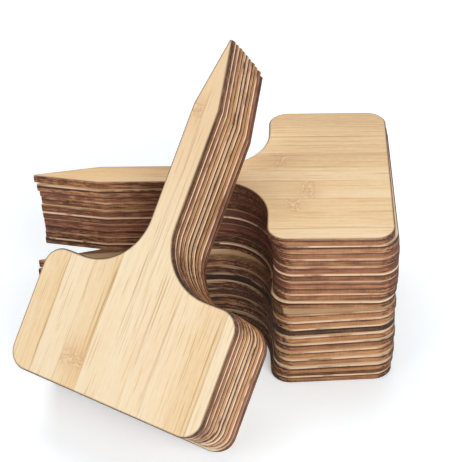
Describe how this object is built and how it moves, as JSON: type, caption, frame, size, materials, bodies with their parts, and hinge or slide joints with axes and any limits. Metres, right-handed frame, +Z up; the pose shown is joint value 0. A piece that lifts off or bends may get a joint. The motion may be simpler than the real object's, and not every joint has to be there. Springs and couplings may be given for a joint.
{
  "type": "plant label stake",
  "caption": "Thin bamboo plant labels with a wide rounded head and a pointed shank, stacked in a flat pile with a bundle leaning on it.",
  "frame": {"origin": "on the surface that the pile stands on, under the head's centre of the pile's top stake, inside the bottom stake's underside", "axes": "+X along the pile from its points to its heads, +Y from the leaning bundle to the pile, +Z up"},
  "size_m": [0.1037, 0.1057, 0.0907],
  "materials": {
    "bamboo": "sanded bare faces with browned laser-cut edges"
  },
  "bodies": {
    "pile_stake_01": {"pile_stake_01": "bamboo"},
    "pile_stake_02": {"pile_stake_02": "bamboo"},
    "pile_stake_03": {"pile_stake_03": "bamboo"},
    "pile_stake_04": {"pile_stake_04": "bamboo"},
    "pile_stake_05": {"pile_stake_05": "bamboo"},
    "pile_stake_06": {"pile_stake_06": "bamboo"},
    "pile_stake_07": {"pile_stake_07": "bamboo"},
    "pile_stake_08": {"pile_stake_08": "bamboo"},
    "pile_stake_09": {"pile_stake_09": "bamboo"},
    "pile_stake_10": {"pile_stake_10": "bamboo"},
    "pile_stake_11": {"pile_stake_11": "bamboo"},
    "pile_stake_12": {"pile_stake_12": "bamboo"},
    "pile_stake_13": {"pile_stake_13": "bamboo"},
    "pile_stake_14": {"pile_stake_14": "bamboo"},
    "pile_stake_15": {"pile_stake_15": "bamboo"},
    "pile_stake_16": {"pile_stake_16": "bamboo"},
    "pile_stake_17": {"pile_stake_17": "bamboo"},
    "pile_stake_18": {"pile_stake_18": "bamboo"},
    "pile_stake_19": {"pile_stake_19": "bamboo"},
    "leaning_stake_01": {"leaning_stake_01": "bamboo"},
    "leaning_stake_02": {"leaning_stake_02": "bamboo"},
    "leaning_stake_03": {"leaning_stake_03": "bamboo"},
    "leaning_stake_04": {"leaning_stake_04": "bamboo"},
    "leaning_stake_05": {"leaning_stake_05": "bamboo"},
    "leaning_stake_06": {"leaning_stake_06": "bamboo"},
    "leaning_stake_07": {"leaning_stake_07": "bamboo"},
    "leaning_stake_08": {"leaning_stake_08": "bamboo"},
    "leaning_stake_09": {"leaning_stake_09": "bamboo"},
    "leaning_stake_10": {"leaning_stake_10": "bamboo"}
  },
  "joints": [
    {"name": "pile_stake_02_slide", "type": "slide", "parent": "pile_stake_01", "child": "pile_stake_02", "axis": [0.9972, 0.075, 0], "range_m": [0, 0.105]},
    {"name": "pile_stake_03_slide", "type": "slide", "parent": "pile_stake_01", "child": "pile_stake_03", "axis": [0.9969, 0.0785, 0], "range_m": [0, 0.105]},
    {"name": "pile_stake_04_slide", "type": "slide", "parent": "pile_stake_01", "child": "pile_stake_04", "axis": [0.9963, 0.0854, 0], "range_m": [0, 0.105]},
    {"name": "pile_stake_05_slide", "type": "slide", "parent": "pile_stake_01", "child": "pile_stake_05", "axis": [0.996, 0.0889, 0], "range_m": [0, 0.105]},
    {"name": "pile_stake_06_slide", "type": "slide", "parent": "pile_stake_01", "child": "pile_stake_06", "axis": [0.9956, 0.0941, 0], "range_m": [0, 0.105]},
    {"name": "pile_stake_07_slide", "type": "slide", "parent": "pile_stake_01", "child": "pile_stake_07", "axis": [0.9965, 0.0837, 0], "range_m": [0, 0.105]},
    {"name": "pile_stake_08_slide", "type": "slide", "parent": "pile_stake_01", "child": "pile_stake_08", "axis": [0.9966, 0.0819, 0], "range_m": [0, 0.105]},
    {"name": "pile_stake_09_slide", "type": "slide", "parent": "pile_stake_01", "child": "pile_stake_09", "axis": [0.9971, 0.0767, 0], "range_m": [0, 0.105]},
    {"name": "pile_stake_10_slide", "type": "slide", "parent": "pile_stake_01", "child": "pile_stake_10", "axis": [1, 0.0017, 0], "range_m": [0, 0.105]},
    {"name": "pile_stake_11_slide", "type": "slide", "parent": "pile_stake_01", "child": "pile_stake_11", "axis": [1, 0.0087, 0], "range_m": [0, 0.105]},
    {"name": "pile_stake_12_slide", "type": "slide", "parent": "pile_stake_01", "child": "pile_stake_12", "axis": [1, 0.0087, 0], "range_m": [0, 0.105]},
    {"name": "pile_stake_13_slide", "type": "slide", "parent": "pile_stake_01", "child": "pile_stake_13", "axis": [1, 0.0052, 0], "range_m": [0, 0.105]},
    {"name": "pile_stake_14_slide", "type": "slide", "parent": "pile_stake_01", "child": "pile_stake_14", "axis": [1, 0.0087, 0], "range_m": [0, 0.105]},
    {"name": "pile_stake_15_slide", "type": "slide", "parent": "pile_stake_01", "child": "pile_stake_15", "axis": [0.9999, 0.0105, 0], "range_m": [0, 0.105]},
    {"name": "pile_stake_16_slide", "type": "slide", "parent": "pile_stake_01", "child": "pile_stake_16", "axis": [1, 0.007, 0], "range_m": [0, 0.105]},
    {"name": "pile_stake_17_slide", "type": "slide", "parent": "pile_stake_01", "child": "pile_stake_17", "axis": [1, 0.0087, 0], "range_m": [0, 0.105]},
    {"name": "pile_stake_18_slide", "type": "slide", "parent": "pile_stake_01", "child": "pile_stake_18", "axis": [0.9999, 0.0105, 0], "range_m": [0, 0.105]},
    {"name": "pile_stake_19_slide", "type": "slide", "parent": "pile_stake_01", "child": "pile_stake_19", "axis": [1, 0, 0], "range_m": [0, 0.105]},
    {"name": "bundle_tip_up", "type": "hinge", "parent": "pile_stake_01", "child": "leaning_stake_01", "pos_m": [-0.05361, -0.04791, 0], "axis": [0.8678, -0.497, 0], "range_deg": [0, 45]},
    {"name": "leaning_stake_02_slide", "type": "slide", "parent": "leaning_stake_01", "child": "leaning_stake_02", "axis": [0.3514, 0.6136, 0.7071], "range_m": [0, 0.0167]},
    {"name": "leaning_stake_03_slide", "type": "slide", "parent": "leaning_stake_01", "child": "leaning_stake_03", "axis": [0.3514, 0.6136, 0.7071], "range_m": [0, 0.0197]},
    {"name": "leaning_stake_04_slide", "type": "slide", "parent": "leaning_stake_01", "child": "leaning_stake_04", "axis": [0.3514, 0.6136, 0.7071], "range_m": [0, 0.021]},
    {"name": "leaning_stake_05_slide", "type": "slide", "parent": "leaning_stake_01", "child": "leaning_stake_05", "axis": [0.3514, 0.6136, 0.7071], "range_m": [0, 0.105]},
    {"name": "leaning_stake_06_slide", "type": "slide", "parent": "leaning_stake_01", "child": "leaning_stake_06", "axis": [0.3514, 0.6136, 0.7071], "range_m": [0, 0.105]},
    {"name": "leaning_stake_07_slide", "type": "slide", "parent": "leaning_stake_01", "child": "leaning_stake_07", "axis": [0.3514, 0.6136, 0.7071], "range_m": [0, 0.105]},
    {"name": "leaning_stake_08_slide", "type": "slide", "parent": "leaning_stake_01", "child": "leaning_stake_08", "axis": [0.3514, 0.6136, 0.7071], "range_m": [0, 0.105]},
    {"name": "leaning_stake_09_slide", "type": "slide", "parent": "leaning_stake_01", "child": "leaning_stake_09", "axis": [0.3514, 0.6136, 0.7071], "range_m": [0, 0.105]},
    {"name": "leaning_stake_10_slide", "type": "slide", "parent": "leaning_stake_01", "child": "leaning_stake_10", "axis": [0.3514, 0.6136, 0.7071], "range_m": [0, 0.105]}
  ]
}
